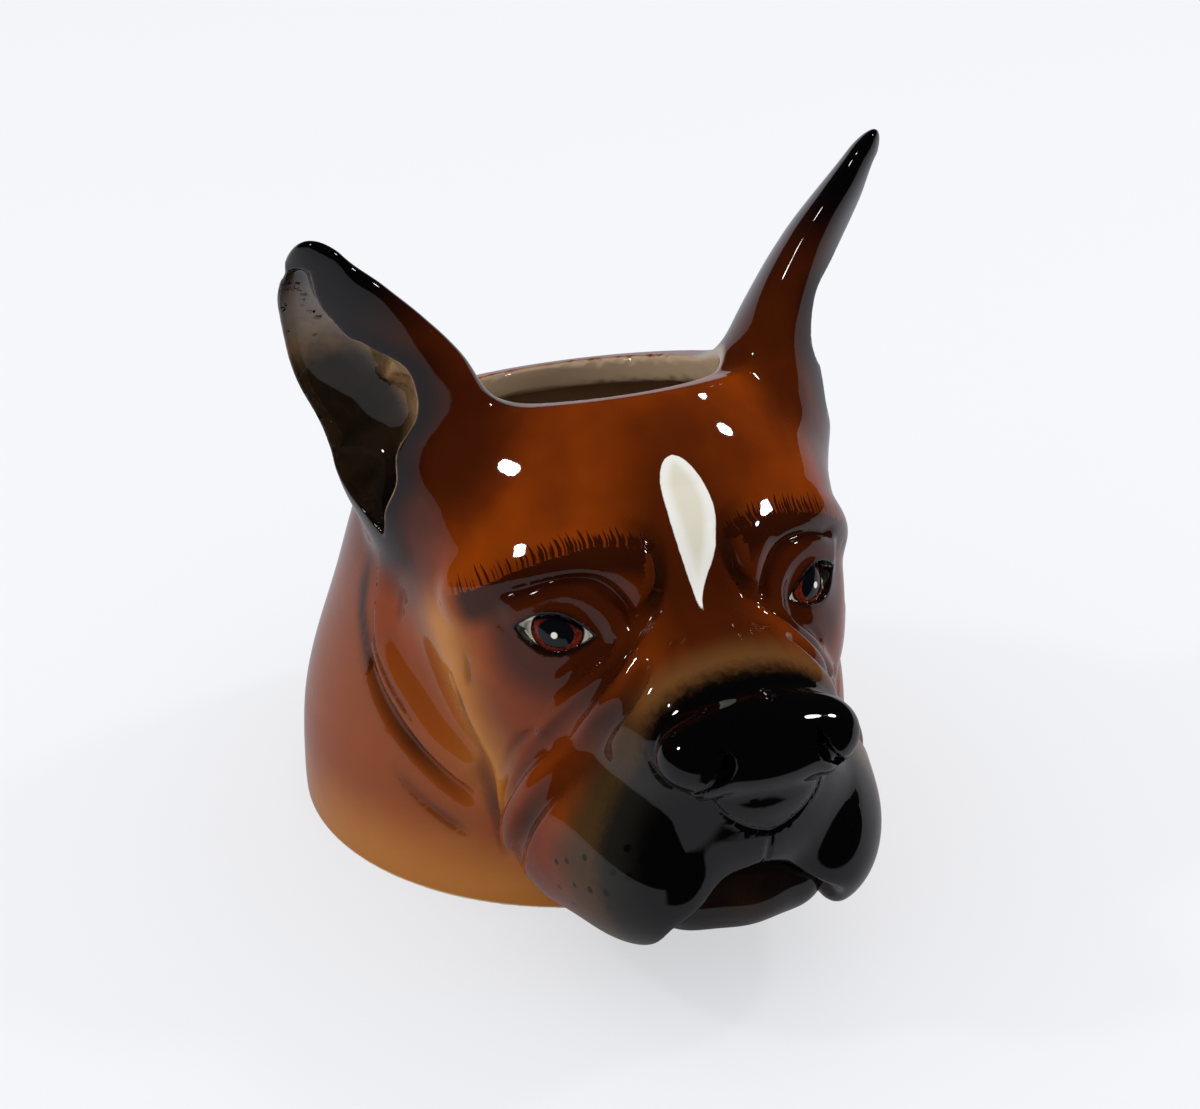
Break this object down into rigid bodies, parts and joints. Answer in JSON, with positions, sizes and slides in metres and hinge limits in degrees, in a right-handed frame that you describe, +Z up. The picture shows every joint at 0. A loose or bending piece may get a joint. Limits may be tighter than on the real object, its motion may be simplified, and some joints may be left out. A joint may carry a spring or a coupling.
{
  "type": "cachepot",
  "caption": "Glazed ceramic cachepot in the form of a boxer dog's head, hollow and open at the crown to take a small plant pot.",
  "frame": {"origin": "centre of the flat base, on the surface it stands on", "axes": "+Z up out of the opening, -Y the way the face looks, +X towards the dog's left ear"},
  "size_m": [0.2093, 0.2725, 0.2428],
  "materials": {
    "glaze_head": "high gloss transparent glaze over airbrushed browns, black nose and muzzle, painted eyes and white blaze",
    "glaze_jaw": "high gloss black-brown glaze",
    "glaze_left_ear": "high gloss brown shading to black at the tip",
    "glaze_right_ear": "high gloss brown shading to black at the tip"
  },
  "bodies": {
    "root": {"head_pot": "glaze_head", "lower_jaw": "glaze_jaw", "left_ear": "glaze_left_ear", "right_ear": "glaze_right_ear"}
  },
  "joints": []
}
